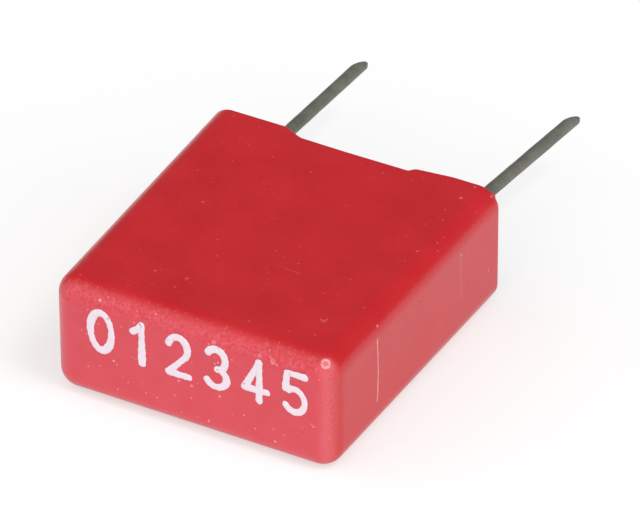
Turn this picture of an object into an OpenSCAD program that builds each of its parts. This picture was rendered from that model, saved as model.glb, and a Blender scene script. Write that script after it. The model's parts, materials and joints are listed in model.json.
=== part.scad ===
// Box film capacitor: a flat-wound film roll with sprayed metal ends and two welded leads, potted in a
// moulded case that is open on the lead side.
// It lies on one broad wall. The origin is the middle of that wall, +Z is up, +X runs along the row of
// leads, +Y is the way the leads point, and the printed face looks to -Y. Millimetres and degrees.

/* [Leads] */
// Distance between the two leads where they leave the resin
lead_pitch = 5.0; // [4.6:0.1:6]
// Diameter of the lead wire
lead_d = 0.3; // [0.25:0.05:0.6]
// Height of the left lead's tip above the feet
left_reach = 5.0; // [2:0.1:8]
// Height of the right lead's tip above the feet
right_reach = 5.3; // [2:0.1:8]
// Lean of the left lead towards +X
left_lean_angle = 3.2; // [0.5:0.1:8]
// Lean of the right lead towards +X
right_lean_angle = 6.3; // [0.5:0.1:8]
// Centre-line radius of the bend where a lead starts to lean
bend_r = 1.0; // [0.6:0.1:2]
// Length of a lead's stretch that lies on the sprayed metal
weld_l = 4.2; // [2:0.1:4.8]
// Depth that a lead is pressed into the sprayed metal
weld_sink = 0.08; // [0.04:0.01:0.12]
// Length of wire that stays straight where a lead leaves the resin
straight_stub = 0.15; // [0.1:0.05:0.5]
// Bevel at the cut ends of the leads
tip_bevel = 0.06; // [0.02:0.01:0.1]

/* [Moulded case] */
// Distance from a lead's axis to the outside of the case's end, at the mouth
end_margin = 1.1; // [1:0.05:1.4]
// Height of the case, from the printed face to the feet
case_h = 7.5; // [6.5:0.1:9]
// Thickness of the whole case, across the broad walls at the mouth
case_w = 3.0; // [2.8:0.1:4]
// Thickness of the two broad walls
broad_wall = 0.35; // [0.25:0.05:0.45]
// Thickness of the two end walls
end_wall = 0.4; // [0.3:0.05:0.5]
// Thickness of the wall behind the printed face
face_wall = 0.45; // [0.3:0.05:0.6]
// Radius of the outer edges
edge_r = 0.5; // [0.3:0.05:0.7]
// Radius of the edges inside
inner_r = 0.25; // [0.1:0.05:0.4]
// Mould draft of the end walls
end_draft = 1.0; // [0:0.1:1.5]
// Mould draft of the broad walls
broad_draft = 0.25; // [0:0.05:0.5]

/* [Feet] */
// Height of the feet: how far the rim between them is set back
foot_rise = 0.25; // [0.1:0.05:0.3]
// Length of the left foot, along the row of leads
left_foot_l = 1.85; // [1.5:0.05:2.2]
// Length of the right foot up to its step
right_foot_l = 2.1; // [1.5:0.05:2.4]
// Length of the steep ramp that ends the left foot
steep_ramp_l = 0.5; // [0.1:0.05:0.6]
// Length of the gentle ramp on top of the right foot
gentle_ramp_l = 0.95; // [0.3:0.05:1.2]
// Height of the small step that ends the right foot
step_rise = 0.14; // [0.05:0.01:0.2]

/* [Resin seal] */
// Drop from the feet to the resin's level
resin_drop = 0.4; // [0.35:0.05:0.6]
// Height that the resin climbs the walls of the case
wall_climb = 0.12; // [0.05:0.01:0.14]
// Width of the sloping band where the resin climbs the walls
climb_l = 0.3; // [0.2:0.05:0.35]
// Thickness of the resin's edge at the top of that band
feather_t = 0.03; // [0.02:0.01:0.06]
// Height that the resin climbs each lead
lead_climb = 0.22; // [0.1:0.02:0.3]
// Width of the resin's collar round a lead, at its foot
collar_t = 0.22; // [0.1:0.02:0.24]
// Width of that collar at its top
collar_top_t = 0.03; // [0.02:0.01:0.06]

/* [Winding] */
// Clearance between the winding and the walls of the case, filled with resin
winding_gap = 0.1; // [0.05:0.01:0.15]
// Depth of resin between the winding and the resin's level
resin_cover = 0.6; // [0.4:0.05:1]
// Offset of the winding from the middle of the case, along the row of leads
winding_offset = -0.25; // [-0.3:0.01:0.3]
// Thickness of the sprayed metal at each end of the winding
spray_t = 0.32; // [0.2:0.02:0.45]
// Width of the thinner rim of the sprayed metal
spray_rim_l = 0.2; // [0.1:0.05:0.3]
// Thickness of the sprayed metal at its rim
spray_rim_t = 0.16; // [0.08:0.02:0.2]

/* [Hidden] */

$fn = 32;
sliver = 0.01; // thickness of the discs and plates that a hull joins
past = 1; // how far a cutting shape runs past what it cuts

case_l = lead_pitch + 2 * end_margin;
cavity_l = case_l - 2 * end_wall;
cavity_w = case_w - 2 * broad_wall;
cavity_h = case_h - face_wall;
foot_join_l = case_l / 2 - right_foot_l;

weld_x = lead_pitch / 2 - lead_d / 2 + weld_sink; // outer face of the sprayed metal
winding_l = 2 * (weld_x - spray_t);
winding_top = -resin_drop - resin_cover;
winding_bottom = -cavity_h + winding_gap;
winding_h = winding_top - winding_bottom;
winding_w = cavity_w - 2 * (-winding_bottom * tan(broad_draft) + winding_gap);

lean_start = -resin_drop + lead_climb + straight_stub; // a lead starts to lean here

// Lays the upright capacitor, whose mouth is at y = 0, on its drafted lower wall.
module lay() {
    translate([0, case_h / 2, case_w / 2 * cos(broad_draft)])
        rotate([broad_draft, 0, 0])
            children();
}

// A ball whose facets reach its full radius along each axis.
module ball(r) {
    rotate_extrude()
        intersection() {
            circle(r = r);
            translate([0, -r])
                square([r, 2 * r]);
        }
}

// A box with a flat mouth at y = 0 that narrows with the mould's draft to a rounded far side at y = -h.
module drafted_box(l, w, h, r) {
    depth = h - r;
    hull()
        for (side = [-1, 1], face = [-1, 1]) {
            translate([side * (l / 2 - r), 0, face * (w / 2 - r)])
                rotate([90, 0, 0])
                    cylinder(r = r, h = sliver);
            translate([side * (l / 2 - r - depth * tan(end_draft)), -depth,
                       face * (w / 2 - r - depth * tan(broad_draft))])
                ball(r);
        }
}

// The set-back stretch of the rim between the feet, as an outline in X and Y.
module rim_outline() {
    left = -case_l / 2 + left_foot_l;
    right = foot_join_l;
    polygon([
        [left, past],
        [left, 0],
        [left + steep_ramp_l, -foot_rise],
        [right, -foot_rise],
        [right, -foot_rise + step_rise],
        [right + gentle_ramp_l, 0],
        [right + gentle_ramp_l, past]
    ]);
}

// The cavity of the case, which the resin fills.
module cavity() {
    drafted_box(cavity_l, cavity_w, cavity_h, inner_r);
}

module case() {
    color([0.78, 0.16, 0.18])
        lay()
            difference() {
                drafted_box(case_l, case_w, case_h, edge_r);
                cavity();
                translate([0, 0, -case_w])
                    linear_extrude(2 * case_w)
                        rim_outline();
            }
}

// A flat plate with rounded corners, lying across Y with its upper face at y.
module resin_plate(y, inset) {
    l = cavity_l - 2 * inset;
    w = cavity_w - 2 * inset;
    r = max(inner_r - inset, sliver);
    hull()
        for (side = [-1, 1], face = [-1, 1])
            translate([side * (l / 2 - r), y, face * (w / 2 - r)])
                rotate([90, 0, 0])
                    cylinder(r = r, h = sliver);
}

// The hollow above the resin, whose sloping sides leave the band that climbs the walls.
module resin_hollow() {
    hull() {
        resin_plate(-resin_drop + sliver, climb_l);
        resin_plate(-resin_drop + wall_climb + sliver, feather_t);
    }
}

module collar(x) {
    translate([x, -resin_drop - sliver, 0])
        rotate([-90, 0, 0])
            cylinder(r1 = lead_d / 2 + collar_t, r2 = lead_d / 2 + collar_top_t, h = lead_climb + sliver);
}

module resin_seal() {
    color([0.72, 0.2, 0.22])
        lay()
            difference() {
                union() {
                    difference() {
                        cavity();
                        translate([-case_l, -resin_drop + wall_climb, -case_w])
                            cube([2 * case_l, case_h, 2 * case_w]);
                        resin_hollow();
                    }
                    for (side = [-1, 1])
                        collar(lead_x(side));
                }
                winding_shape();
                for (side = [-1, 1]) {
                    spray_shape(side);
                    straight_wire(side);
                }
            }
}

function lead_x(side) = winding_offset + side * lead_pitch / 2;

// The pressed roll seen along the row of leads: flat sides and round ends, in Y and Z.
module roll_outline(inset) {
    l = winding_h - 2 * inset;
    w = winding_w - 2 * inset;
    translate([(winding_top + winding_bottom) / 2, 0]) {
        square([l - w, w], center = true);
        for (side = [-1, 1])
            translate([side * (l - w) / 2, 0])
                circle(d = w);
    }
}

// Extrudes a Y-Z outline along X, starting at x.
module along_x(x, length) {
    translate([x, 0, 0])
        rotate([90, 0, 90])
            linear_extrude(length)
                children();
}

module winding_shape() {
    along_x(winding_offset - winding_l / 2, winding_l)
        roll_outline(0);
}

module film_winding() {
    color([0.62, 0.63, 0.66])
        lay()
            winding_shape();
}

// Sprayed metal on one end of the winding: full thickness in the middle, thinner at the rim.
module spray_shape(side) {
    translate([winding_offset, 0, 0])
        mirror([side < 0 ? 1 : 0, 0, 0]) {
            along_x(winding_l / 2, spray_rim_t)
                roll_outline(0);
            along_x(winding_l / 2, spray_t)
                roll_outline(spray_rim_l);
        }
}

module end_spray(side) {
    color([0.55, 0.56, 0.57])
        lay()
            difference() {
                spray_shape(side);
                straight_wire(side);
            }
}

module end_spray_left() {
    end_spray(-1);
}

module end_spray_right() {
    end_spray(1);
}

// A bevelled wire of the given length, from the origin along +Y.
module cut_wire(length) {
    rotate([-90, 0, 0]) {
        cylinder(d = lead_d, h = length - tip_bevel);
        translate([0, 0, length - tip_bevel])
            cylinder(d1 = lead_d, d2 = lead_d - 2 * tip_bevel, h = tip_bevel);
    }
}

// The stretch of a lead that lies on the sprayed metal and in the resin.
module straight_wire(side) {
    translate([lead_x(side), lean_start, 0])
        rotate([180, 0, 0])
            cut_wire(lean_start - winding_top + weld_l);
}

// A whole lead: straight in the resin, then a short bend, then straight to its tip.
module lead(side, lean, reach) {
    bend_rise = bend_r * sin(lean);
    color([0.72, 0.72, 0.7])
        lay() {
            straight_wire(side);
            translate([lead_x(side) + bend_r, lean_start, 0]) {
                mirror([1, 0, 0])
                    rotate_extrude(angle = lean)
                        translate([bend_r, 0])
                            circle(d = lead_d);
                translate([-bend_r * cos(lean), bend_rise, 0])
                    rotate([0, 0, -lean])
                        cut_wire((reach - lean_start - bend_rise) / cos(lean));
            }
        }
}

module lead_left() {
    lead(-1, left_lean_angle, left_reach);
}

module lead_right() {
    lead(1, right_lean_angle, right_reach);
}

case();
resin_seal();
film_winding();
end_spray_left();
end_spray_right();
lead_left();
lead_right();
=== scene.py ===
import json
import math
import bpy
import bmesh
import numpy as np
from mathutils import Matrix, Vector


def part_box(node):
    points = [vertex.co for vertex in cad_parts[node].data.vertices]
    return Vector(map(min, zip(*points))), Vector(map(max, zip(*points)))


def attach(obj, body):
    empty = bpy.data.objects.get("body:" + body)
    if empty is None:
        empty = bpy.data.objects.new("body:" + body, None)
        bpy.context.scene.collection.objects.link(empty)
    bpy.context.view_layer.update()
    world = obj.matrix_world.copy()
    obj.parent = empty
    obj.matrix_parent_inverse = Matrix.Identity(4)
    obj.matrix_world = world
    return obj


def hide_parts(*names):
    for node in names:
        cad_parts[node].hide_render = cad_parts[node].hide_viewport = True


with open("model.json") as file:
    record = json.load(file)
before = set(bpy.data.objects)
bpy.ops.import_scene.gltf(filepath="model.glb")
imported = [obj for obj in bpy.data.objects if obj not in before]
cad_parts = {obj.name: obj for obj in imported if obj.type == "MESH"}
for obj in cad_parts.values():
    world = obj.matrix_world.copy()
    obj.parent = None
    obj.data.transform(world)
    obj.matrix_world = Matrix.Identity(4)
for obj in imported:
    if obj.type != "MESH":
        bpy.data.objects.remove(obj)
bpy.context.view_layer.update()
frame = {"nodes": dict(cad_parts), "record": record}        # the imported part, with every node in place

mm = 0.001
body = "root"


def addNode(tree, kind, inputs=None, **settings):
    node = tree.nodes.new(kind)
    for key, value in settings.items():
        setattr(node, key, value)
    for key, value in (inputs or {}).items():
        if isinstance(value, bpy.types.NodeSocket):
            tree.links.new(value, node.inputs[key])
        else:
            node.inputs[key].default_value = value
    return node


def calc(tree, operation, first, second=0.0, clamp=False):
    node = addNode(tree, "ShaderNodeMath", {0: first, 1: second}, operation=operation, use_clamp=clamp)
    return node.outputs[0]


def smoothStep(tree, value, low, high, toLow=0.0, toHigh=1.0):
    inputs = {"Value": value, "From Min": low, "From Max": high, "To Min": toLow, "To Max": toHigh}
    node = addNode(tree, "ShaderNodeMapRange", inputs, interpolation_type="SMOOTHSTEP")
    return node.outputs["Result"]


def noise(tree, place, scale, detail=2.0, roughness=0.5):
    inputs = {"Vector": place, "Scale": scale, "Detail": detail, "Roughness": roughness}
    return addNode(tree, "ShaderNodeTexNoise", inputs).outputs["Fac"]


def mixColour(tree, amount, first, second):
    node = addNode(tree, "ShaderNodeMix", data_type="RGBA")
    for key, value in ((0, amount), (6, first), (7, second)):
        if isinstance(value, bpy.types.NodeSocket):
            tree.links.new(value, node.inputs[key])
        else:
            node.inputs[key].default_value = value
    return node.outputs[2]


def scaled(tree, vector, amount):
    inputs = {0: vector, "Scale": amount}
    return addNode(tree, "ShaderNodeVectorMath", inputs, operation="SCALE").outputs[0]


def shaded(colour, share):
    return tuple(c * share for c in colour[:3]) + (1,)


def newFinish(name):
    finish = bpy.data.materials.new(name)
    finish.use_nodes = True
    tree = finish.node_tree
    shader = tree.nodes["Principled BSDF"]
    place = scaled(tree, addNode(tree, "ShaderNodeTexCoord").outputs["Object"], 1 / mm)
    return finish, tree, shader, place      # place is the position in millimetres


def sumOf(tree, *values):
    total = values[0]
    for value in values[1:]:
        total = calc(tree, "ADD", total, value)
    return total


def product(tree, *values):
    total = values[0]
    for value in values[1:]:
        total = calc(tree, "MULTIPLY", total, value)
    return total


def strongest(tree, *values):
    total = values[0]
    for value in values[1:]:
        total = calc(tree, "MAXIMUM", total, value)
    return total


def vectorCalc(tree, operation, first, second):
    return addNode(tree, "ShaderNodeVectorMath", {0: first, 1: second}, operation=operation)


def warpPlace(tree, place, scale, reach):
    # shifts the place by up to half of reach, for ragged edges
    colour = addNode(tree, "ShaderNodeTexNoise", {"Vector": place, "Scale": scale}).outputs["Color"]
    centred = vectorCalc(tree, "SUBTRACT", colour, (0.5, 0.5, 0.5)).outputs[0]
    return vectorCalc(tree, "ADD", place, scaled(tree, centred, reach)).outputs[0]


def distanceFrom(tree, place, centre):
    return vectorCalc(tree, "DISTANCE", place, centre).outputs["Value"]


def strokeMask(tree, place, start, end, width):
    # 1 on the line from start to end, fading to 0 a little more than half a width away
    start, end = Vector(start), Vector(end)
    run = end - start
    fromStart = vectorCalc(tree, "SUBTRACT", place, start).outputs[0]
    share = vectorCalc(tree, "DOT_PRODUCT", fromStart, run / run.length_squared).outputs["Value"]
    share = calc(tree, "ADD", share, 0.0, clamp=True)
    away = distanceFrom(tree, fromStart, scaled(tree, run, share))
    return smoothStep(tree, away, 0.1 * width, 0.6 * width, 1.0, 0.0)


def speckMask(tree, place, scale, size, share):
    # small round specks: share is how many of the cells have one
    cells = addNode(tree, "ShaderNodeTexVoronoi", {"Vector": place, "Scale": scale})
    pick = addNode(tree, "ShaderNodeSeparateColor", {0: cells.outputs["Color"]})
    reach = calc(tree, "MULTIPLY", pick.outputs[1], size * scale)
    near = calc(tree, "DIVIDE", cells.outputs["Distance"], calc(tree, "ADD", reach, 0.01))
    chosen = calc(tree, "LESS_THAN", pick.outputs[0], share)
    return product(tree, smoothStep(tree, near, 0.5, 1.0, 1.0, 0.0), chosen)


def addBump(tree, shader, layers):
    normal = None
    for height, depth in layers:            # depth in millimetres
        inputs = {"Height": height, "Distance": depth * mm, "Strength": 1.0}
        if normal is not None:
            inputs["Normal"] = normal
        normal = addNode(tree, "ShaderNodeBump", inputs).outputs["Normal"]
    tree.links.new(normal, shader.inputs["Normal"])


def newPiece(name, points, faces, finish, nodeName):
    mesh = bpy.data.meshes.new(name)
    mesh.from_pydata([tuple(p) for p in np.asarray(points) * mm], [], [list(f) for f in faces])
    work = bmesh.new()
    work.from_mesh(mesh)
    bmesh.ops.remove_doubles(work, verts=work.verts, dist=0.002 * mm)
    bmesh.ops.recalc_face_normals(work, faces=work.faces)
    work.to_mesh(mesh)
    work.free()
    mesh.validate()
    mesh.shade_smooth()
    mesh.materials.append(finish)
    piece = bpy.data.objects.new(name, mesh)
    bpy.context.scene.collection.objects.link(piece)
    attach(piece, body)
    if nodeName:
        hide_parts(nodeName)
    return piece


def skinRings(rings):
    rings = np.asarray(rings)
    ringCount, pointCount = rings.shape[:2]
    faces = []
    for i in range(ringCount - 1):
        here, beyond = i * pointCount, (i + 1) * pointCount
        for j in range(pointCount):
            k = (j + 1) % pointCount
            faces.append((here + j, here + k, beyond + k, beyond + j))
    faces.append(tuple(reversed(range(pointCount))))
    faces.append(tuple(range((ringCount - 1) * pointCount, ringCount * pointCount)))
    return rings.reshape(-1, 3), faces


print("helpers ready")


case = {
    "length": 7.2,          # at the mouth, along the leads' row
    "height": 7.5,
    "thickness": 3.0,
    "endDraft": 1.0,        # degrees
    "broadDraft": 0.25,
    "edgeRadius": 0.5,
    "endWall": 0.4,
    "broadWall": 0.35,
    "faceWall": 0.45,
    "innerRadius": 0.25,
    "lipRadius": 0.035,     # broken edges of the rim
    "sink": 0.02,           # how far the broad walls dip in their middle
    "sinkHalf": 3.1,        # half the length of that dip
    "inkRoom": 0.012,       # the printed face is set in by the ink's thickness
    "colour": (0.55, 0.0115, 0.0175, 1),
    "roughness": 0.3,
    "specular": 0.45,
}
rim = {
    "leftFoot": 1.85,       # lengths along the leads' row, from the ends
    "steepRamp": 0.5,
    "rightFoot": 2.1,
    "gentleRamp": 0.95,
    "rise": 0.25,
    "step": 0.14,
    "stepLength": 0.05,
    "softness": 0.035,
    "reachOutside": 0.8,    # the walls' rings lie level below these depths, outside and inside
    "reachInside": 0.6,
}


def layDown(points):
    tilt = math.radians(case["broadDraft"])
    x, y, z = np.moveaxis(np.asarray(points, float), -1, 0)
    laidY = y * math.cos(tilt) - z * math.sin(tilt) + case["height"] / 2
    laidZ = y * math.sin(tilt) + z * math.cos(tilt) + case["thickness"] / 2 * math.cos(tilt)
    return np.stack([x, laidY, laidZ], -1)


def roundedLoop(halfX, halfZ, radius, longCount=150, shortCount=44, cornerCount=12):
    radius = max(radius, 0.0)
    flatX, flatZ = halfX - radius, halfZ - radius
    alongX = np.linspace(-flatX, flatX, longCount)
    alongZ = np.linspace(flatZ, -flatZ, shortCount)
    turn = np.linspace(0, math.pi / 2, cornerCount + 1)[1:-1]
    out, over = radius * np.sin(turn), radius * np.cos(turn)
    endX, sideZ = np.full(shortCount, halfX), np.full(longCount, halfZ)
    x = [alongX, flatX + out, endX, flatX + over, -alongX, -flatX - out, -endX, -flatX - over]
    z = [sideZ, flatZ + over, alongZ, -flatZ - out, -sideZ, -flatZ - over, -alongZ, flatZ + out]
    return np.concatenate(x), np.concatenate(z)


def rimDrop(x):
    # how far the rim is set back at x, with its corners softened
    left = -case["length"] / 2 + rim["leftFoot"]
    right = case["length"] / 2 - rim["rightFoot"]
    low = -rim["rise"]
    stops = [left, left + rim["steepRamp"], (left + right) / 2]
    stops += [right, right + rim["stepLength"], right + rim["gentleRamp"]]
    drops = [0, low + 0.02, low, low + 0.01, low + rim["step"], 0]
    fine = np.linspace(-4, 4, 1601)
    line = np.interp(fine, stops, drops)
    width = rim["softness"] / (fine[1] - fine[0])
    reach = np.arange(-int(4 * width), int(4 * width) + 1)
    weights = np.exp(-0.5 * (reach / width) ** 2)
    padded = np.pad(line, len(reach) // 2, mode="edge")
    soft = np.convolve(padded, weights / weights.sum(), mode="valid")
    return np.interp(x, fine, soft)


def caseRing(depth, inset, radius, useRim=0.0):
    halfX = case["length"] / 2 - inset - depth * math.tan(math.radians(case["endDraft"]))
    halfZ = case["thickness"] / 2 - inset - depth * math.tan(math.radians(case["broadDraft"]))
    x, z = roundedLoop(halfX, halfZ, radius)
    return np.stack([x, -depth + useRim * rimDrop(x), z], -1)


def cavityHalf(depth):
    halfX = case["length"] / 2 - case["endWall"] - depth * math.tan(math.radians(case["endDraft"]))
    halfZ = case["thickness"] / 2 - case["broadWall"]
    return halfX, halfZ - depth * math.tan(math.radians(case["broadDraft"]))


def cavityRing(depth, inset, radius, useRim=0.0):
    halfX, halfZ = cavityHalf(depth)
    x, z = roundedLoop(halfX - inset, halfZ - inset, radius)
    return np.stack([x, -depth + useRim * rimDrop(x), z], -1)


def cavityFloor(turns):
    # the round edge between the cavity's floor and its walls
    inner, floorDepth = case["innerRadius"], case["height"] - case["faceWall"]
    rings = []
    for turn in turns:
        away = inner * (1 - math.cos(turn))
        rings.append(cavityRing(floorDepth - inner * (1 - math.sin(turn)), away, inner - away))
    return rings


def makeCase(finish):
    h, r = case["height"] - case["inkRoom"], case["edgeRadius"]
    lip, inner = case["lipRadius"], case["innerRadius"]
    outside, inside, quarter = rim["reachOutside"], rim["reachInside"], math.pi / 2
    rings = []
    faceReach = case["thickness"] / 2 - h * math.tan(math.radians(case["broadDraft"])) - r
    for inset in np.linspace(faceReach, 0, 9)[:-1]:         # the printed face, from its middle line
        rings.append(caseRing(h, r + inset, 0))
    firstWall = len(rings)
    for turn in np.linspace(0, quarter, 11):                # the round edge
        away = r * (1 - math.sin(turn))
        rings.append(caseRing(h - r * (1 - math.cos(turn)), away, r * math.sin(turn)))
    for depth in np.linspace(h - r, outside, 34)[1:]:       # the drafted walls
        rings.append(caseRing(depth, 0, r))
    lastWall = len(rings)
    for share in np.linspace(0, 1, 10)[1:]:                 # up to the rim
        rings.append(caseRing(outside + (lip - outside) * share, 0, r, share))
    for turn in np.linspace(0, quarter, 5)[1:]:
        away = lip * (1 - math.cos(turn))
        rings.append(caseRing(lip * (1 - math.sin(turn)), away, r - away, 1))
    for turn in np.linspace(0, quarter, 5):
        rings.append(cavityRing(lip * (1 - math.cos(turn)), -lip * (1 - math.sin(turn)), inner, 1))
    for share in np.linspace(1, 0, 8)[1:]:                  # down inside
        rings.append(cavityRing(inside + (lip - inside) * share, 0, inner, share))
    for depth in np.linspace(inside, case["height"] - case["faceWall"] - inner, 8)[1:]:
        rings.append(cavityRing(depth, 0, inner))
    rings += cavityFloor(np.linspace(0, quarter, 6)[1:])
    rings = np.array(rings)
    for ring in rings[firstWall:lastWall]:                  # slight sink of the broad walls
        across = np.clip(1 - (ring[:, 0] / case["sinkHalf"]) ** 2, 0, 1)
        along = np.clip(1 - ((ring[:, 1] + h / 2) / (h / 2 - 0.4)) ** 2, 0, 1)
        broad = np.abs(ring[:, 2]) > case["thickness"] / 2 - 0.06
        ring[:, 2] -= np.sign(ring[:, 2]) * case["sink"] * across * along * broad
    points, faces = skinRings(layDown(rings))
    return newPiece("moulded_case", points, faces, finish, "case")


wear = {
    "paleMark": (0.88, 0.45, 0.46, 1),
    # the pale colour painted on the printed face and the ends as sheen
    "paintedSheenColour": (0.65, 0.062, 0.088, 1),
    "scratchesAndHighlight": [          # start, end, width, strength, in millimetres on the case
        ((3.504, -1.77, 2.44), (3.505, -1.72, 1.56), 0.045, 0.9),
        ((3.505, -1.72, 1.56), (3.504, -1.76, 0.80), 0.05, 1.0),
        ((3.569, 1.97, 2.40), (3.570, 2.04, 1.16), 0.07, 0.16),
        # these two run down the rounded front-right edge: a painted highlight band, with a narrow worn line
        # in it
        ((3.340, -3.600, 0.60), (3.325, -3.555, 2.50), 0.14, 0.07),
        ((3.335, -3.600, 0.40), (3.325, -3.555, 2.70), 0.55, 0.13),
        ((2.43, -2.32, 2.947), (2.53, -2.35, 2.947), 0.07, 0.2),
        ((2.53, -2.35, 2.947), (2.53, -2.25, 2.947), 0.06, 0.2),
        ((1.93, -3.70, 2.66), (2.07, -3.72, 2.61), 0.06, 0.3),
        ((2.98, -3.745, 1.20), (3.13, -3.735, 1.23), 0.05, 0.5),
        ((2.92, -3.748, 1.27), (3.02, -3.748, 1.22), 0.04, 0.4),
        ((0.72, -3.745, 2.42), (0.84, -3.74, 2.50), 0.05, 0.45),
        ((1.98, -3.72, 2.58), (2.15, -3.72, 2.52), 0.05, 0.5),
    ],
    "spots": [              # place, radius, strength
        ((3.441, -1.652, 2.694), 0.04, 0.6),
        ((3.570, 2.017, 2.326), 0.04, 0.45),
        ((3.592, 3.288, 1.124), 0.05, 0.35),
        ((-0.859, -2.347, 2.947), 0.06, 0.15),
        ((2.985, 3.10, 2.98), 0.05, 0.35),
        ((0.57, -3.73, 2.59), 0.08, 0.25),
        ((0.60, -3.75, 2.05), 0.03, 0.6),
        ((1.68, -3.72, 2.62), 0.07, 0.25),
        ((-2.60, -3.75, 1.75), 0.03, 0.4),
        ((-0.91, -3.62, 2.78), 0.03, 0.5),
        ((-1.36, -3.66, 2.73), 0.03, 0.4),
    ],
    # a pale ring painted on the front-right top corner as a glint
    "cornerGlintRing": (3.191, -3.510, 2.803),
    "ringRadius": 0.08,
    "ringWidth": 0.045,
    "ringStrength": 0.75,
    "faceSheen": 0.9,       # how much of the painted pale sheen the printed face and the ends take
    "endSheen": 0.06,
    "bandPits": 0.6,        # the grainy band's dark pits and pale grains
    "bandGrains": 0.11,
    "speckStrength": 0.6,
    "straySeed": 12,
    "strayCount": 10,
}


def strayScratches():
    draw = np.random.RandomState(wear["straySeed"])
    marks = []
    for i in range(wear["strayCount"]):
        face = i % 5                        # top, right, left, under, printed
        a, b = draw.uniform(-3, 3), draw.uniform(-3, 3)
        height = draw.uniform(0.7, 2.3)
        way, size = draw.uniform(0, math.pi), draw.uniform(0.2, 0.9)
        u, v = size * math.cos(way), size * math.sin(way)
        if face in (0, 3):
            z = 2.955 if face == 0 else 0.0
            start, end = (a, b, z), (a + u, b + v, z)
        elif face in (1, 2):
            x = 3.54 if face == 1 else -3.54
            start, end = (x, b, height), (x, b + u, height + 0.3 * v)
        else:
            start, end = (a, -3.74, height), (a + u, -3.74, height + 0.3 * v)
        marks.append((start, end, 0.035, draw.uniform(0.08, 0.22)))
    return marks


def caseFinish():
    finish, tree, shader, place = newFinish("red moulded plastic")
    axes = addNode(tree, "ShaderNodeSeparateXYZ", {0: place}).outputs
    x, y, z = axes["X"], axes["Y"], axes["Z"]
    cloudy = noise(tree, place, 0.7, 4.0, 0.55)
    grain = noise(tree, place, 14.0, 2.0)
    fine = noise(tree, place, 30.0, 2.0)

    # the plain red, a little cloudy
    shade = sumOf(tree, product(tree, cloudy, 0.7), product(tree, grain, 0.3))
    red = case["colour"]
    lighter = (red[0] * 1.04, red[1] * 1.4, red[2] * 1.3, 1)
    colour = mixColour(tree, smoothStep(tree, shade, 0.3, 0.7), shaded(red, 0.94), lighter)

    # a painted pale sheen on the printed face, and a trace of it on the ends, standing in for the reflected
    # haze there
    blots = noise(tree, place, 9.0, 4.0, 0.65)
    raggedY = sumOf(tree, y, product(tree, blots, 0.22), -0.11)
    printedFace = smoothStep(tree, raggedY, -3.45, -3.68)
    endFaces = smoothStep(tree, calc(tree, "ABSOLUTE", x), 3.36, 3.5)
    patchy = smoothStep(tree, noise(tree, place, 2.2, 3.0), 0.25, 0.75, 0.8, 1.0)
    # a grainy band along the printed face's upper edge: dark pits in the painted sheen, pale grains and a
    # fine bump
    bandZ = product(tree, smoothStep(tree, z, 2.35, 2.7), smoothStep(tree, x, 3.2, 3.0))
    band = product(tree, smoothStep(tree, y, -3.36, -3.5), bandZ)
    pitting = noise(tree, place, 15.0, 2.0)
    pits = product(tree, band, smoothStep(tree, pitting, 0.52, 0.4, 0.0, wear["bandPits"]))
    speckled = product(tree, band, smoothStep(tree, blots, 0.5, 0.64))
    faceSheen = product(tree, printedFace, wear["faceSheen"])
    paintedSheen = strongest(tree, faceSheen, product(tree, endFaces, wear["endSheen"]))
    paintedSheen = product(tree, paintedSheen, patchy, calc(tree, "SUBTRACT", 1.0, pits))
    colour = mixColour(tree, paintedSheen, colour, wear["paintedSheenColour"])

    # scratches, a painted highlight along the front-right edge, spots, a pale ring painted as a glint on
    # the corner, and specks
    warped = warpPlace(tree, place, 5.0, 0.05)
    marks = product(tree, speckled, wear["bandGrains"])
    for start, end, width, strength in wear["scratchesAndHighlight"] + strayScratches():
        streak = strokeMask(tree, warped, start, end, width)
        marks = strongest(tree, marks, product(tree, streak, strength))
    for centre, radius, strength in wear["spots"]:
        spot = smoothStep(tree, distanceFrom(tree, warped, centre), 0.5 * radius, radius, strength, 0.0)
        marks = strongest(tree, marks, spot)
    # the painted glint: a pale ring with a fainter pale middle
    fromRing = distanceFrom(tree, warped, wear["cornerGlintRing"])
    radius, width = wear["ringRadius"], wear["ringWidth"]
    ring = calc(tree, "ABSOLUTE", calc(tree, "SUBTRACT", fromRing, radius))
    ring = smoothStep(tree, ring, 0.2 * width, width, wear["ringStrength"], 0.0)
    ring = strongest(tree, ring, smoothStep(tree, fromRing, 0.5 * radius, radius, 0.3, 0.0))
    dust = sumOf(tree, 0.35, product(tree, printedFace, 0.65))          # more on the printed face
    coarse, small = speckMask(tree, warped, 3.0, 0.05, 0.3), speckMask(tree, warped, 7.0, 0.028, 0.3)
    specks = product(tree, strongest(tree, coarse, small), dust, wear["speckStrength"])
    marks = strongest(tree, marks, ring, specks)
    ragged = smoothStep(tree, fine, 0.3, 0.55, 0.35, 1.0)
    marks = product(tree, marks, ragged)
    colour = mixColour(tree, marks, colour, wear["paleMark"])
    tree.links.new(colour, shader.inputs["Base Color"])

    low, high = case["roughness"] - 0.03, case["roughness"] + 0.05
    rough = sumOf(tree, smoothStep(tree, cloudy, 0.3, 0.7, low, high), product(tree, marks, 0.3))
    tree.links.new(rough, shader.inputs["Roughness"])
    shader.inputs["Specular IOR Level"].default_value = case["specular"]
    waves, skin = noise(tree, place, 0.5, 2.0), noise(tree, place, 9.0, 2.0)
    addBump(tree, shader, [(waves, 0.02), (skin, 0.002), (product(tree, band, blots), 0.007)])
    return finish


lead = {
    "sides": 40,
    "wobble": 0.004,        # unevenness of the tin, in millimetres
    "bend": 0.07,           # length of wire on each side of the knee that bends
    "bevel": 0.06,
    "snip": 0.36,           # length of the slanted cut at the tip
    "snipWay": 38,          # degrees from the left side up towards the top
    "colour": (0.2, 0.2, 0.17, 1),
    "metallic": 0.4,
    "roughness": 0.55,
}


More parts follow.
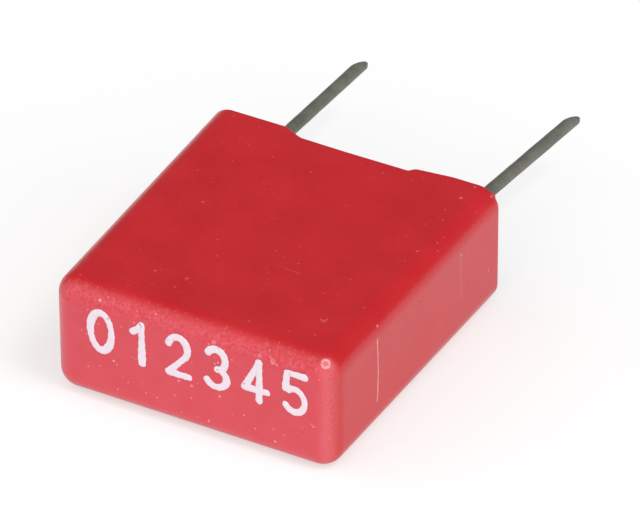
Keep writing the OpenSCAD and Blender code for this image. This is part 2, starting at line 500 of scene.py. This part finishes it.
def leadPath(nodeName):
    mount = [m for m in frame["record"]["mounts"] if m["name"] == nodeName][0]
    radius = mount["dims"]["r_mm"]
    low, high = (Vector(corner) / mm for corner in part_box(nodeName))
    way = Vector(mount["axis"]).normalized()
    onAxis = Vector(mount["pos_m"]) / mm
    startX = low.x + radius
    knee = onAxis + way * ((startX - onAxis.x) / way.x)     # where the straight and leaning lines cross
    tip = onAxis + way * ((high.y - radius * way.x - onAxis.y) / way.y)
    tilt = math.radians(case["broadDraft"])
    bottomZ = knee.z + (low.y - knee.y) * math.tan(tilt)
    return Vector((startX, low.y + radius * math.sin(tilt), bottomZ)), knee, tip, radius


def makeLead(nodeName, pieceName, finish, seed):
    bottom, knee, tip, radius = leadPath(nodeName)
    draw = np.random.RandomState(seed)
    down, up, bend = bottom - knee, tip - knee, lead["bend"]
    curve = []
    for s in np.linspace(0, 1, 30)[:-1]:
        curve.append(bottom - down * float(s * (1 - bend / down.length)))
    a, b = knee + down.normalized() * bend, knee + up.normalized() * bend
    for t in np.linspace(0, 1, 7).tolist():
        curve.append((1 - t) ** 2 * a + 2 * t * (1 - t) * knee + t ** 2 * b)
    last = tip - up.normalized() * lead["bevel"]
    for s in np.linspace(0, 1, 70).tolist()[1:]:
        curve.append(b.lerp(last, s))
    sizes = [radius] * len(curve)
    for t in (0.35, 0.7, 0.9, 1.0):                         # the broken edge round the tip
        curve.append(last.lerp(tip, t))
        sizes.append(radius - 0.6 * lead["bevel"] * t ** 2.2)
    sizes[0] = radius - lead["bevel"]
    angles = np.linspace(0, 2 * math.pi, lead["sides"], endpoint=False)
    phase = draw.uniform(0, 2 * math.pi, 6)
    snipWay = math.radians(lead["snipWay"])
    cutSide, cutOver = math.cos(snipWay), math.sin(snipWay)
    rings = []
    for i, (centre, size) in enumerate(zip(curve, sizes)):
        ahead = curve[min(i + 1, len(curve) - 1)] - curve[max(i - 1, 0)]
        side = Vector((0, 0, 1)).cross(ahead).normalized()
        over = ahead.cross(side).normalized()
        y = centre.y
        bumps = 0.5 * np.sin(3.1 * y + 2 * angles + phase[0]) + 0.5 * np.sin(7.7 * y - angles + phase[1])
        bumps += 0.4 * np.sin(17 * y + 3 * angles + phase[2])
        sizeHere = size - lead["wobble"] * (0.7 + 0.5 * bumps)
        across, above = np.cos(angles) * sizeHere, np.sin(angles) * sizeHere
        left = (tip - centre).length / lead["snip"]
        if left < 1:                                        # cut slanting across the upper left side
            flat = radius * (1.6 * left ** 0.6 - 0.55)
            back = np.maximum(across * cutSide + above * cutOver - flat, 0) * 0.9
            across, above = across - back * cutSide, above - back * cutOver
        rings.append(np.array(centre) + np.outer(across, side) + np.outer(above, over))
    points, faces = skinRings(rings)
    return newPiece(pieceName, points, faces, finish, nodeName)


def leadFinish():
    finish, tree, shader, place = newFinish("tinned wire")
    dull = noise(tree, place, 3.0, 4.0, 0.6)
    stretched = vectorCalc(tree, "MULTIPLY", place, (1, 0.06, 1)).outputs[0]
    drawn = noise(tree, stretched, 30.0, 2.0)               # fine lines along the wire
    bright = lead["colour"]
    colour = mixColour(tree, smoothStep(tree, dull, 0.3, 0.7), shaded(bright, 0.7), bright)
    tree.links.new(colour, shader.inputs["Base Color"])
    shader.inputs["Metallic"].default_value = lead["metallic"]
    shader.inputs["Roughness"].default_value = lead["roughness"]
    addBump(tree, shader, [(dull, 0.004), (drawn, 0.0015)])
    return finish


resin = {
    "drop": 0.4,            # from the feet down to the resin
    "wallClimb": 0.115,
    "wallReach": 0.12,
    "leadClimb": 0.21,
    "leadReach": 0.085,
    "ripple": 0.006,
    "bubbleSeed": 5,
    "bubbleCount": 9,
    "colour": (0.44, 0.02, 0.026, 1),
    "roughness": 0.16,
    "dropPlace": (3.40, 3.70, 2.80),        # the small run of resin on the rim's corner
    "dropSize": (0.13, 0.10, 0.11),
}


def resinLevel(x, z, wires, bubbles):
    halfX, halfZ = cavityHalf(resin["drop"])
    toWall = np.minimum(halfX - np.abs(x), halfZ - np.abs(z))
    level = -resin["drop"] + resin["wallClimb"] * np.exp(-np.maximum(toWall, 0) / resin["wallReach"])
    for wireX, radius in wires:
        toWire = np.maximum(np.hypot(x - wireX, z) - radius, 0)
        level = np.maximum(level, -resin["drop"])
        level += resin["leadClimb"] * np.exp(-toWire / resin["leadReach"])
    level += resin["ripple"] * (np.sin(1.7 * x + 0.6) * np.cos(2.3 * z) + 0.5 * np.sin(4.1 * x + 2 * z))
    for bubbleX, bubbleZ, size in bubbles:
        away = np.hypot(x - bubbleX, z - bubbleZ) / size
        level += 0.3 * size * (np.exp(-((away - 1) / 0.25) ** 2) - 1.6 * np.exp(-(away / 0.75) ** 2))
    return level


def cutAway(piece, cutters):
    for cutter in cutters:
        change = piece.modifiers.new("cut", "BOOLEAN")
        change.operation = "DIFFERENCE"
        change.solver = "EXACT"
        change.object = cutter
    depsgraph = bpy.context.evaluated_depsgraph_get()
    done = bpy.data.meshes.new_from_object(piece.evaluated_get(depsgraph))
    piece.modifiers.clear()
    piece.data = done
    piece.data.shade_smooth()


def makeResin(finish, leads):
    draw = np.random.RandomState(resin["bubbleSeed"])
    wires = []
    for nodeName in ("lead_left", "lead_right"):
        bottom, *_, radius = leadPath(nodeName)
        wires.append((bottom.x, radius))
    bubbles = []
    for _ in range(resin["bubbleCount"]):
        bubbles.append((draw.uniform(-2.3, 1.8), draw.uniform(-0.8, 0.8), draw.uniform(0.03, 0.08)))
    halfX, halfZ = cavityHalf(resin["drop"])
    inner, deep = case["innerRadius"], case["height"] - case["faceWall"]
    walls = cavityFloor(np.linspace(math.pi / 2, 0, 6))     # from the cavity's floor up its walls
    for depth in np.linspace(deep - inner, 0.5, 16)[1:]:
        walls.append(cavityRing(depth, 0, inner))
    surface = []
    for inset in np.concatenate([[0, 0.012, 0.025, 0.045], np.linspace(0.07, halfZ - 0.002, 44)]):
        x, z = roundedLoop(halfX - inset, halfZ - inset, inner - inset, 260, 60, 8)
        surface.append(np.stack([x, resinLevel(x, z, wires, bubbles), z], -1))
    loops = []
    for ring in walls:                                      # these take the surface rings' count of points
        steps = np.linspace(0, len(ring), len(surface[0]), endpoint=False)
        closed = np.vstack([ring, ring[:1]]).T
        loops.append(np.stack([np.interp(steps, np.arange(len(ring) + 1), row) for row in closed], -1))
    points, faces = skinRings(layDown(np.array(loops + surface)))
    piece = newPiece("resin_fill", points, faces, finish, "resin_seal")
    inside = [frame["nodes"][name] for name in ("film_winding", "end_spray_left", "end_spray_right")]
    cutAway(piece, inside + leads)


def makeResinDrop(finish):
    ball = bmesh.new()
    bmesh.ops.create_icosphere(ball, subdivisions=4, radius=1)
    points = np.array([tuple(v.co) for v in ball.verts])
    faces = [[v.index for v in f.verts] for f in ball.faces]
    ball.free()
    x, y, z = points.T
    swell = 1 + 0.12 * np.sin(3 * x + 1) * np.cos(2 * z) + 0.08 * np.sin(5 * y + 2 * x)
    points = points * swell[:, None] * np.array(resin["dropSize"]) + np.array(resin["dropPlace"])
    newPiece("resin_run", points, faces, finish, None)


def resinFinish():
    finish, tree, shader, place = newFinish("poured red resin")
    cloudy = noise(tree, place, 1.3, 3.0)
    bits = speckMask(tree, place, 6.0, 0.04, 0.25)
    base = resin["colour"]
    colour = mixColour(tree, smoothStep(tree, cloudy, 0.35, 0.65), shaded(base, 0.75), base)
    colour = mixColour(tree, product(tree, bits, 0.35), colour, (0.6, 0.16, 0.16, 1))
    tree.links.new(colour, shader.inputs["Base Color"])
    low = resin["roughness"]
    rough = smoothStep(tree, noise(tree, place, 3.0, 2.0), 0.3, 0.7, low, low + 0.12)
    tree.links.new(rough, shader.inputs["Roughness"])
    addBump(tree, shader, [(noise(tree, place, 2.5, 2.0), 0.012), (bits, -0.003)])
    return finish


roll = {
    "filmColour": (0.5, 0.51, 0.54, 1),
    "turnPitch": 16.0,      # visible turns a millimetre
    "zincColour": (0.33, 0.34, 0.35, 1),
}


def filmFinish():
    finish, tree, shader, place = newFinish("pressed metallized film")
    waves = {"Vector": place, "Scale": roll["turnPitch"] / math.tau * 2, "Distortion": 1.2, "Detail": 2.0}
    turns = addNode(tree, "ShaderNodeTexWave", waves, wave_type="BANDS", bands_direction="Z").outputs["Fac"]
    patches = noise(tree, place, 1.5, 3.0)
    bright = roll["filmColour"]
    tone = sumOf(tree, product(tree, turns, 0.5), product(tree, patches, 0.5))
    colour = mixColour(tree, smoothStep(tree, tone, 0.25, 0.75), shaded(bright, 0.6), bright)
    tree.links.new(colour, shader.inputs["Base Color"])
    shader.inputs["Metallic"].default_value = 0.85
    tree.links.new(smoothStep(tree, patches, 0.3, 0.7, 0.25, 0.45), shader.inputs["Roughness"])
    addBump(tree, shader, [(turns, 0.006), (patches, 0.01)])
    return finish


def zincFinish():
    finish, tree, shader, place = newFinish("sprayed zinc")
    grains = addNode(tree, "ShaderNodeTexVoronoi", {"Vector": place, "Scale": 16.0}).outputs["Distance"]
    lumps = noise(tree, place, 6.0, 4.0, 0.65)
    bright = roll["zincColour"]
    tone = sumOf(tree, product(tree, grains, 0.5), product(tree, lumps, 0.6))
    colour = mixColour(tree, smoothStep(tree, tone, 0.3, 0.8), shaded(bright, 0.55), bright)
    tree.links.new(colour, shader.inputs["Base Color"])
    shader.inputs["Metallic"].default_value = 0.7
    shader.inputs["Roughness"].default_value = 0.62
    addBump(tree, shader, [(grains, 0.02), (lumps, 0.03)])
    return finish


def dressNode(nodeName, finish):
    node = frame["nodes"][nodeName]
    node.data.materials.clear()
    node.data.materials.append(finish)


marking = {
    "pitch": 0.955,         # from figure to figure
    "firstX": -2.22,
    "baseZ": 1.40,
    "height": 1.15,
    "width": 0.66,
    "stroke": 0.175,
    "thickness": 0.010,
    "grid": 0.016,          # size of the mesh's cells
    "nicks": 2,             # small nicks in each figure
    "seed": 21,
    "colour": (0.79, 0.69, 0.76, 1),
    "thinColour": (0.75, 0.5, 0.57, 1),
}


def arc(centreX, centreZ, reachX, reachZ, start, end, count=28):
    angles = np.radians(np.linspace(start, end, count))
    return np.stack([centreX + reachX * np.cos(angles), centreZ + reachZ * np.sin(angles)], -1)


def figureStrokes():
    # each figure's strokes in a box one wide and one high, its middle at x = 0
    return [
        [arc(0, 0.5, 0.42, 0.43, 0, 360, 60)],
        [np.array([(-0.24, 0.74), (-0.02, 0.84), (0.1, 0.94), (0.1, 0.06)])],
        [np.vstack([arc(0, 0.67, 0.38, 0.26, 165, -35), [(-0.38, 0.08), (0.42, 0.08)]])],
        [np.vstack([arc(-0.02, 0.7, 0.36, 0.23, 150, -85), arc(-0.02, 0.28, 0.4, 0.21, 85, -155)])],
        [np.array([(0.14, 0.06), (0.14, 0.94), (-0.42, 0.3), (0.44, 0.3)])],
        [np.vstack([[(0.36, 0.93), (-0.3, 0.93), (-0.35, 0.56)],
                    arc(-0.02, 0.33, 0.4, 0.26, 125, -145)])],
    ]


def strokeDistance(points, line):
    best = np.full(len(points), 9.0)
    for a, b in zip(line[:-1], line[1:]):
        run = b - a
        share = np.clip(((points - a) @ run) / max(run @ run, 1e-12), 0, 1)
        best = np.minimum(best, np.hypot(*(points - a - share[:, None] * run).T))
    return best


def figureField(points, strokes, draw):
    # how far inside the figure's edge each point lies, in millimetres
    scale = np.array([marking["width"] - marking["stroke"] * 0.2, marking["height"]])
    distance = np.full(len(points), 9.0)
    for line in strokes:
        distance = np.minimum(distance, strokeDistance(points, line * scale))
    waves = draw.uniform(0, math.tau, 6)
    x, z = points.T
    press = 1 + 0.10 * np.sin(5.5 * x + 3 * z + waves[0]) + 0.08 * np.sin(4 * x - 6.5 * z + waves[1])
    edge = 0.006 * np.sin(34 * x + waves[2]) * np.sin(31 * z + waves[3])
    edge += 0.003 * np.sin(75 * x + 60 * z + waves[4])
    field = marking["stroke"] / 2 * press - distance + edge
    line = strokes[0] * scale
    for _ in range(marking["nicks"]):
        centre = line[draw.randint(len(line))] + draw.uniform(-0.09, 0.09, 2)
        size = draw.uniform(0.008, 0.02)
        field = np.minimum(field, np.hypot(*(points - centre).T) - size)
    return field


def makeFigure(strokes, offset, draw):
    step, margin, nudge = marking["grid"], 0.12, 1e-3
    halfWidth, top = marking["width"] / 2 + 0.14, marking["height"] + margin
    xs, zs = np.arange(-halfWidth, halfWidth, step), np.arange(-margin, top, step)
    gridX, gridZ = np.meshgrid(xs, zs, indexing="ij")
    points = np.stack([gridX.ravel(), gridZ.ravel()], -1)
    phases = draw.get_state()
    field = figureField(points, strokes, draw)
    slope = []
    for shift in ((nudge, 0), (0, nudge)):
        draw.set_state(phases)
        slope.append((figureField(points + shift, strokes, draw) - field) / nudge)
    slope = np.stack(slope, -1)
    slope /= np.maximum(np.hypot(*slope.T), 0.4)[:, None]
    columns, rows = gridX.shape
    index = np.arange(columns * rows).reshape(columns, rows)
    corners = [index[:-1, :-1], index[1:, :-1], index[1:, 1:], index[:-1, 1:]]
    cells = np.stack(corners, -1).reshape(-1, 4)
    atEdge = field < 0.35 * step                            # these move on to the print's edge
    cells = cells[~atEdge[cells].all(1)]
    points = points - slope * np.where(atEdge, field, 0)[:, None]
    rise = np.where(atEdge, 0, marking["thickness"] * (1 - np.exp(-np.maximum(field, 0) / 0.025)))
    face = case["inkRoom"] - case["height"]
    lift = marking["baseZ"] - case["thickness"] / 2
    front = np.stack([points[:, 0] + offset, face - rise, points[:, 1] + lift], -1)
    behind = front.copy()
    behind[:, 1] = np.where(atEdge, face, face + 0.004)
    used = np.unique(cells)
    place = np.full(len(points), -1)
    place[used] = np.arange(len(used))
    frontFaces = place[cells]
    inner = used[~atEdge[used]]
    placeBehind = place.copy()
    placeBehind[inner] = len(used) + np.arange(len(inner))
    behindFaces = placeBehind[cells][:, ::-1]
    return np.vstack([front[used], behind[inner]]), np.vstack([frontFaces, behindFaces])


def makeMarking(finish):
    draw = np.random.RandomState(marking["seed"])
    points, faces, count = [], [], 0
    for i, strokes in enumerate(figureStrokes()):
        figurePoints, figureFaces = makeFigure(strokes, marking["firstX"] + i * marking["pitch"], draw)
        points.append(figurePoints)
        faces.append(figureFaces + count)
        count += len(figurePoints)
    points, faces = layDown(np.vstack(points)), np.vstack(faces).tolist()
    newPiece("printed_figures", points, faces, finish, None)


def markingFinish():
    finish, tree, shader, place = newFinish("white print")
    thin = noise(tree, place, 6.0, 4.0, 0.6)
    pits = speckMask(tree, place, 12.0, 0.018, 0.2)
    white, pinkish = marking["colour"], marking["thinColour"]
    colour = mixColour(tree, smoothStep(tree, thin, 0.55, 0.8, 0.0, 0.5), white, pinkish)
    colour = mixColour(tree, product(tree, pits, 0.6), colour, pinkish)
    tree.links.new(colour, shader.inputs["Base Color"])
    shader.inputs["Roughness"].default_value = 0.55
    addBump(tree, shader, [(thin, 0.002), (pits, -0.002)])
    return finish


stage = {
    "azimuth": 28.99,       # where the camera stands round the case, degrees
    "elevation": 35.42,
    "roll": -0.395,
    "distance": 152.9,      # millimetres from the case's middle
    "lens": 392.3,
    "aimRight": 0.979,      # the picture's middle lies right of and above the case's middle
    "aimUp": 0.546,
    "middle": (0, 0.05, 1.5),
    "floorHalf": 600,
    "floorColour": (0.93, 0.93, 0.93, 1),
    "seenShare": 0.5,       # of the floor's own light and shade that the camera or a mirror sees
    "whiteness": 0.54,      # white added to it there, up to plain white
    "frontLight": 1.25,     # brightness of the studio's front half and of its back half
    "backLight": 0.22,
    "lamps": [              # azimuth, elevation, distance, size, light on a face turned to it
        ("high lamp", 84, 59, 400, 160, 0.26),
        ("side lamp", 85, 25, 400, 250, 0.14),
    ],
}


def makeCamera():
    a, e, roll = (math.radians(stage[key]) for key in ("azimuth", "elevation", "roll"))
    back = Vector((math.sin(a) * math.cos(e), -math.cos(a) * math.cos(e), math.sin(e)))
    level = Vector((math.cos(a), math.sin(a), 0))
    rise = back.cross(level)
    right = level * math.cos(roll) + rise * math.sin(roll)
    up = rise * math.cos(roll) - level * math.sin(roll)
    middle = Vector(stage["middle"])
    eye = middle + back * stage["distance"]
    aim = middle + right * stage["aimRight"] + up * stage["aimUp"]
    back = (eye - aim).normalized()
    right = (right - back * right.dot(back)).normalized()
    up = back.cross(right)
    data = bpy.data.cameras.new("camera")
    data.lens = stage["lens"]
    data.sensor_width = 36
    data.clip_start = 0.005
    camera = bpy.data.objects.new("camera", data)
    camera.matrix_world = Matrix.Translation(eye * mm) @ Matrix((right, up, back)).transposed().to_4x4()
    bpy.context.scene.collection.objects.link(camera)
    bpy.context.scene.camera = camera


def makeFloor():
    half, low = stage["floorHalf"], -0.004                  # just below the case
    mesh = bpy.data.meshes.new("floor")
    corners = [(-half, -half, low), (half, -half, low), (half, half, low), (-half, half, low)]
    mesh.from_pydata([tuple(c * mm for c in corner) for corner in corners], [], [(0, 1, 2, 3)])
    finish, tree, shader, _ = newFinish("pale floor")
    shader.inputs["Roughness"].default_value = 0.9
    shader.inputs["Specular IOR Level"].default_value = 0.1
    shader.inputs["Emission Color"].default_value = (1, 1, 1, 1)
    ray = addNode(tree, "ShaderNodeLightPath").outputs
    seen = strongest(tree, ray["Is Camera Ray"], ray["Is Glossy Ray"], ray["Is Transmission Ray"])
    plain = stage["floorColour"]
    colour = mixColour(tree, seen, plain, shaded(plain, stage["seenShare"]))
    tree.links.new(colour, shader.inputs["Base Color"])
    tree.links.new(product(tree, seen, stage["whiteness"]), shader.inputs["Emission Strength"])
    mesh.materials.append(finish)
    floor = bpy.data.objects.new("floor", mesh)
    bpy.context.scene.collection.objects.link(floor)


def makeWorld():
    world = bpy.data.worlds.new("studio")
    bpy.context.scene.world = world
    world.use_nodes = True
    tree = world.node_tree
    background = tree.nodes["Background"]
    way = addNode(tree, "ShaderNodeTexCoord").outputs["Generated"]
    forward = addNode(tree, "ShaderNodeSeparateXYZ", {0: way}).outputs["Y"]
    strength = smoothStep(tree, forward, -0.3, 0.3, stage["frontLight"], stage["backLight"])
    seen = addNode(tree, "ShaderNodeLightPath").outputs["Is Camera Ray"]
    strength = addNode(tree, "ShaderNodeMix", {0: seen, 2: strength, 3: 1.0}).outputs[0]
    tree.links.new(strength, background.inputs["Strength"])
    background.inputs["Color"].default_value = (1, 1, 1, 1)


def makeLamp(name, azimuth, elevation, distance, size, level):
    a, e = math.radians(azimuth), math.radians(elevation)
    way = Vector((math.sin(a) * math.cos(e), -math.cos(a) * math.cos(e), math.sin(e)))
    data = bpy.data.lights.new(name, "AREA")
    data.shape = "DISK"
    data.size = size * mm
    data.energy = level * (math.pi * distance * mm) ** 2
    lamp = bpy.data.objects.new(name, data)
    turned = way.to_track_quat("Z", "Y").to_matrix().to_4x4()
    lamp.matrix_world = Matrix.Translation(way * distance * mm) @ turned
    bpy.context.scene.collection.objects.link(lamp)


makeCamera()
makeFloor()
makeWorld()
for settings in stage["lamps"]:
    makeLamp(*settings)
print("stage ready")

makeCase(caseFinish())
print("case ready")

wire = leadFinish()
leftLead = makeLead("lead_left", "left_lead", wire, 3)
rightLead = makeLead("lead_right", "right_lead", wire, 8)
print("leads ready")

dressNode("film_winding", filmFinish())
zinc = zincFinish()
dressNode("end_spray_left", zinc)
dressNode("end_spray_right", zinc)
print("winding ready")

pouredResin = resinFinish()
makeResin(pouredResin, [leftLead, rightLead])
makeResinDrop(pouredResin)
print("resin ready")

makeMarking(markingFinish())
print("marking ready")

bpy.context.scene.view_settings.view_transform = "Standard"
